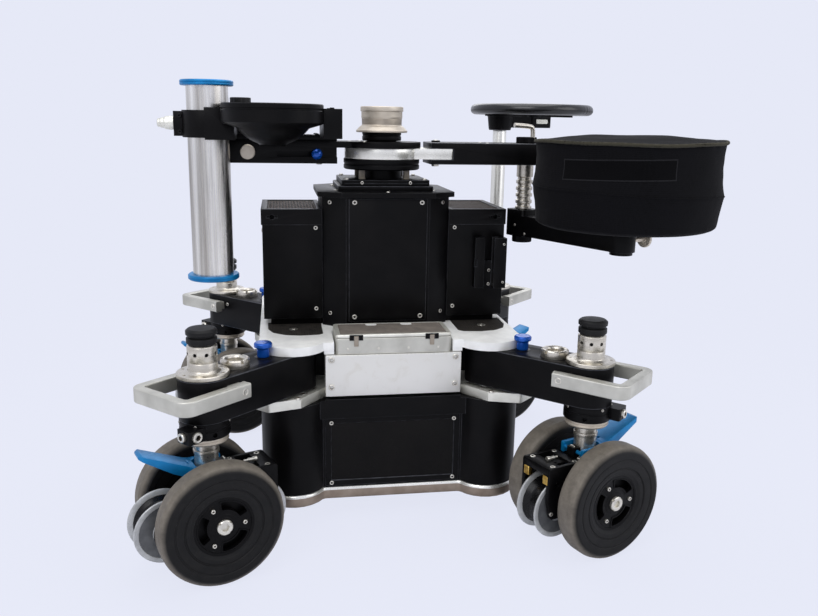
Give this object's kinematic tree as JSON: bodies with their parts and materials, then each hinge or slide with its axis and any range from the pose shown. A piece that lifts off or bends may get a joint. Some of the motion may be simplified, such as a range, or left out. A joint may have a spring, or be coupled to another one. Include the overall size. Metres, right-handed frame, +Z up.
{
  "type": "camera dolly",
  "caption": "Wheeled camera dolly: square chassis on swinging corner arms with twin-tyre trucks and rail rollers, lifting column, turnstile with bowl and seat, offset steering wheel.",
  "frame": {"origin": "middle of the object's box, at floor level", "axes": "+Z up, +X to the side that carries the seat, -Y to the side with the tool case"},
  "size_m": [1.0515, 0.9743, 0.816],
  "materials": {
    "base_satin": "satin",
    "black_anodised": "fine satin black anodised",
    "frame_satin": "satin",
    "deck_cast": "satin casting",
    "case_satin": "satin",
    "latch_steel": "brushed",
    "neck_champagne": "satin",
    "ring_satin": "satin",
    "tube_steel": "brushed tube with blue end rings",
    "knob_satin": "turned",
    "post_chrome": "polished",
    "cushion_fabric": "stretch fabric over foam",
    "tyre": "worn grey tread, black hub",
    "roller_nylon": "satin",
    "truck_metal": "black anodised with bare steel pins",
    "pedal_blue": "bright blue anodised",
    "arm_black": "black anodised",
    "handle_satin": "satin",
    "lock_blue": "blue anodised",
    "steering_black": "black grip"
  },
  "bodies": {
    "chassis": {"base_plate": "base_satin", "lower_housing": "black_anodised", "service_panel": "black_anodised", "chassis_frame": "frame_satin", "deck": "deck_cast", "tool_case": "case_satin", "column_housing": "black_anodised", "side_pod_left": "black_anodised", "side_pod_right": "black_anodised"},
    "lid": {"tool_case_lid": "case_satin"},
    "latch_l": {"latch_left": "latch_steel"},
    "latch_r": {"latch_right": "latch_steel"},
    "lift": {"lift_mast": "black_anodised", "neck_cap": "neck_champagne"},
    "seat_turnstile": {"turnstile_ring": "ring_satin", "seat_bar": "black_anodised"},
    "bowl_turnstile": {"bowl_bar": "black_anodised", "bowl_holder": "black_anodised"},
    "clamp_screw": {"clamp_knob": "knob_satin"},
    "riser": {"riser_tube": "tube_steel"},
    "post": {"seat_post": "post_chrome"},
    "swing_arm": {"seat_arm": "black_anodised"},
    "cushion": {"seat_cushion": "cushion_fabric"},
    "arm_fl": {"arm_fl": "arm_black", "handle_fl": "handle_satin"},
    "pin_fl": {"lock_pin_fl": "lock_blue"},
    "truck_fl": {"truck_fl": "truck_metal"},
    "wheel_fl_a": {"wheel_fl_a": "tyre"},
    "wheel_fl_b": {"wheel_fl_b": "tyre"},
    "roller_fl_out": {"roller_fl_out": "roller_nylon"},
    "roller_fl_in": {"roller_fl_in": "roller_nylon"},
    "pedal_fl": {"pedal_fl": "pedal_blue"},
    "arm_fr": {"arm_fr": "arm_black", "handle_fr": "handle_satin"},
    "pin_fr": {"lock_pin_fr": "lock_blue"},
    "truck_fr": {"truck_fr": "truck_metal"},
    "wheel_fr_a": {"wheel_fr_a": "tyre"},
    "wheel_fr_b": {"wheel_fr_b": "tyre"},
    "roller_fr_out": {"roller_fr_out": "roller_nylon"},
    "roller_fr_in": {"roller_fr_in": "roller_nylon"},
    "pedal_fr": {"pedal_fr": "pedal_blue"},
    "arm_rl": {"arm_rl": "arm_black", "handle_rl": "handle_satin"},
    "pin_rl": {"lock_pin_rl": "lock_blue"},
    "truck_rl": {"truck_rl": "truck_metal"},
    "wheel_rl_a": {"wheel_rl_a": "tyre"},
    "wheel_rl_b": {"wheel_rl_b": "tyre"},
    "roller_rl_out": {"roller_rl_out": "roller_nylon"},
    "roller_rl_in": {"roller_rl_in": "roller_nylon"},
    "pedal_rl": {"pedal_rl": "pedal_blue"},
    "arm_rr": {"arm_rr": "arm_black", "handle_rr": "handle_satin"},
    "pin_rr": {"lock_pin_rr": "lock_blue"},
    "truck_rr": {"truck_rr": "truck_metal", "steering_wheel": "steering_black"},
    "wheel_rr_a": {"wheel_rr_a": "tyre"},
    "wheel_rr_b": {"wheel_rr_b": "tyre"},
    "roller_rr_out": {"roller_rr_out": "roller_nylon"},
    "roller_rr_in": {"roller_rr_in": "roller_nylon"},
    "pedal_rr": {"pedal_rr": "pedal_blue"}
  },
  "joints": [
    {"name": "lid_hinge", "type": "hinge", "parent": "chassis", "child": "lid", "pos_m": [-0.0609, -0.1599, 0.362], "axis": [-1, 0, 0], "range_deg": [0, 75]},
    {"name": "latch_left_hinge", "type": "hinge", "parent": "chassis", "child": "latch_l", "pos_m": [-0.1314, -0.2494, 0.347], "axis": [1, 0, 0], "range_deg": [0, 70]},
    {"name": "latch_right_hinge", "type": "hinge", "parent": "chassis", "child": "latch_r", "pos_m": [0.0096, -0.2494, 0.347], "axis": [1, 0, 0], "range_deg": [0, 70]},
    {"name": "column_lift", "type": "slide", "parent": "chassis", "child": "lift", "axis": [0, 0, 1], "range_m": [0, 0.3]},
    {"name": "seat_turnstile_turn", "type": "hinge", "parent": "lift", "child": "seat_turnstile", "pos_m": [-0.0609, -0.0329, 0.687], "axis": [0, 0, 1], "range_deg": [-90, 45]},
    {"name": "bowl_turnstile_turn", "type": "hinge", "parent": "lift", "child": "bowl_turnstile", "pos_m": [-0.0609, -0.0329, 0.703], "axis": [0, 0, 1], "range_deg": [-100, 90]},
    {"name": "clamp_screw_turn", "type": "hinge", "parent": "bowl_turnstile", "child": "clamp_screw", "pos_m": [-0.4509, -0.1229, 0.74], "axis": [1, 0, 0], "range_deg": [-180, 180]},
    {"name": "riser_slide", "type": "slide", "parent": "bowl_turnstile", "child": "riser", "axis": [0, 0, 1], "range_m": [-0.018, 0.24]},
    {"name": "seat_post_slide", "type": "slide", "parent": "seat_turnstile", "child": "post", "axis": [0, 0, 1], "range_m": [0, 0.085]},
    {"name": "seat_arm_swing", "type": "hinge", "parent": "post", "child": "swing_arm", "pos_m": [0.2391, -0.0329, 0.54], "axis": [0, 0, 1], "range_deg": [-12, 95]},
    {"name": "seat_spin", "type": "hinge", "parent": "swing_arm", "child": "cushion", "pos_m": [0.35615, -0.27288, 0.56], "axis": [0, 0, 1], "continuous": true},
    {"name": "arm_swing_fl", "type": "hinge", "parent": "chassis", "child": "arm_fl", "pos_m": [-0.2459, -0.2179, 0.3], "axis": [0, 0, 1], "range_deg": [-45, 45]},
    {"name": "lock_pull_fl", "type": "slide", "parent": "arm_fl", "child": "pin_fl", "axis": [0, 0, 1], "range_m": [0, 0.014], "stiffness_N_per_m": 300, "springref_m": -0.02},
    {"name": "steer_fl", "type": "hinge", "parent": "arm_fl", "child": "truck_fl", "pos_m": [-0.3949, -0.3669, 0.25], "axis": [0, 0, 1], "range_deg": [-170, 170]},
    {"name": "pedal_press_fl", "type": "hinge", "parent": "truck_fl", "child": "pedal_fl", "pos_m": [-0.37076, -0.35724, 0.178], "axis": [0.3714, -0.9285, 0], "range_deg": [0, 8]},
    {"name": "arm_swing_fr", "type": "hinge", "parent": "chassis", "child": "arm_fr", "pos_m": [0.1241, -0.2179, 0.3], "axis": [0, 0, 1], "range_deg": [-45, 45]},
    {"name": "lock_pull_fr", "type": "slide", "parent": "arm_fr", "child": "pin_fr", "axis": [0, 0, 1], "range_m": [0, 0.014], "stiffness_N_per_m": 300, "springref_m": -0.02},
    {"name": "steer_fr", "type": "hinge", "parent": "arm_fr", "child": "truck_fr", "pos_m": [0.2731, -0.3669, 0.25], "axis": [0, 0, 1], "range_deg": [-170, 170]},
    {"name": "pedal_press_fr", "type": "hinge", "parent": "truck_fr", "child": "pedal_fr", "pos_m": [0.24896, -0.37656, 0.178], "axis": [-0.3714, 0.9285, 0], "range_deg": [0, 8]},
    {"name": "arm_swing_rl", "type": "hinge", "parent": "chassis", "child": "arm_rl", "pos_m": [-0.2459, 0.1521, 0.3], "axis": [0, 0, 1], "range_deg": [-45, 45]},
    {"name": "lock_pull_rl", "type": "slide", "parent": "arm_rl", "child": "pin_rl", "axis": [0, 0, 1], "range_m": [0, 0.014], "stiffness_N_per_m": 300, "springref_m": -0.02},
    {"name": "steer_rl", "type": "hinge", "parent": "arm_rl", "child": "truck_rl", "pos_m": [-0.3949, 0.3011, 0.25], "axis": [0, 0, 1], "range_deg": [-170, 170]},
    {"name": "pedal_press_rl", "type": "hinge", "parent": "truck_rl", "child": "pedal_rl", "pos_m": [-0.37076, 0.31076, 0.178], "axis": [0.3714, -0.9285, 0], "range_deg": [0, 8]},
    {"name": "arm_swing_rr", "type": "hinge", "parent": "chassis", "child": "arm_rr", "pos_m": [0.1241, 0.1521, 0.3], "axis": [0, 0, 1], "range_deg": [-45, 45]},
    {"name": "lock_pull_rr", "type": "slide", "parent": "arm_rr", "child": "pin_rr", "axis": [0, 0, 1], "range_m": [0, 0.014], "stiffness_N_per_m": 300, "springref_m": -0.02},
    {"name": "steer_rr", "type": "hinge", "parent": "arm_rr", "child": "truck_rr", "pos_m": [0.2731, 0.3011, 0.25], "axis": [0, 0, 1], "range_deg": [-170, 170]},
    {"name": "pedal_press_rr", "type": "hinge", "parent": "truck_rr", "child": "pedal_rr", "pos_m": [0.24896, 0.29144, 0.178], "axis": [-0.3714, 0.9285, 0], "range_deg": [0, 8]},
    {"name": "spin_fl_a", "type": "hinge", "parent": "truck_fl", "child": "wheel_fl_a", "pos_m": [-0.42015, -0.30376, 0.105], "axis": [0.3714, -0.9285, 0], "continuous": true},
    {"name": "spin_fl_b", "type": "hinge", "parent": "truck_fl", "child": "wheel_fl_b", "pos_m": [-0.36965, -0.43004, 0.105], "axis": [0.3714, -0.9285, 0], "continuous": true},
    {"name": "roll_fl_out", "type": "hinge", "parent": "truck_fl", "child": "roller_fl_out", "pos_m": [-0.46546, -0.39512, 0.0885], "axis": [0.3714, -0.9285, 0], "continuous": true},
    {"name": "roll_fl_in", "type": "hinge", "parent": "truck_fl", "child": "roller_fl_in", "pos_m": [-0.32434, -0.33868, 0.0885], "axis": [0.3714, -0.9285, 0], "continuous": true},
    {"name": "spin_fr_a", "type": "hinge", "parent": "truck_fr", "child": "wheel_fr_a", "pos_m": [0.29835, -0.43004, 0.105], "axis": [-0.3714, 0.9285, 0], "continuous": true},
    {"name": "spin_fr_b", "type": "hinge", "parent": "truck_fr", "child": "wheel_fr_b", "pos_m": [0.24785, -0.30376, 0.105], "axis": [-0.3714, 0.9285, 0], "continuous": true},
    {"name": "roll_fr_out", "type": "hinge", "parent": "truck_fr", "child": "roller_fr_out", "pos_m": [0.34366, -0.33868, 0.0885], "axis": [-0.3714, 0.9285, 0], "continuous": true},
    {"name": "roll_fr_in", "type": "hinge", "parent": "truck_fr", "child": "roller_fr_in", "pos_m": [0.20254, -0.39512, 0.0885], "axis": [-0.3714, 0.9285, 0], "continuous": true},
    {"name": "spin_rl_a", "type": "hinge", "parent": "truck_rl", "child": "wheel_rl_a", "pos_m": [-0.42015, 0.36424, 0.105], "axis": [0.3714, -0.9285, 0], "continuous": true},
    {"name": "spin_rl_b", "type": "hinge", "parent": "truck_rl", "child": "wheel_rl_b", "pos_m": [-0.36965, 0.23796, 0.105], "axis": [0.3714, -0.9285, 0], "continuous": true},
    {"name": "roll_rl_out", "type": "hinge", "parent": "truck_rl", "child": "roller_rl_out", "pos_m": [-0.46546, 0.27288, 0.0885], "axis": [0.3714, -0.9285, 0], "continuous": true},
    {"name": "roll_rl_in", "type": "hinge", "parent": "truck_rl", "child": "roller_rl_in", "pos_m": [-0.32434, 0.32932, 0.0885], "axis": [0.3714, -0.9285, 0], "continuous": true},
    {"name": "spin_rr_a", "type": "hinge", "parent": "truck_rr", "child": "wheel_rr_a", "pos_m": [0.29835, 0.23796, 0.105], "axis": [-0.3714, 0.9285, 0], "continuous": true},
    {"name": "spin_rr_b", "type": "hinge", "parent": "truck_rr", "child": "wheel_rr_b", "pos_m": [0.24785, 0.36424, 0.105], "axis": [-0.3714, 0.9285, 0], "continuous": true},
    {"name": "roll_rr_out", "type": "hinge", "parent": "truck_rr", "child": "roller_rr_out", "pos_m": [0.34366, 0.32932, 0.0885], "axis": [-0.3714, 0.9285, 0], "continuous": true},
    {"name": "roll_rr_in", "type": "hinge", "parent": "truck_rr", "child": "roller_rr_in", "pos_m": [0.20254, 0.27288, 0.0885], "axis": [-0.3714, 0.9285, 0], "continuous": true}
  ],
  "couplings": [
    {"joint": "steer_fl", "follows": "steer_rr", "ratio": 1},
    {"joint": "steer_fr", "follows": "steer_rr", "ratio": 1},
    {"joint": "steer_rl", "follows": "steer_rr", "ratio": 1}
  ]
}
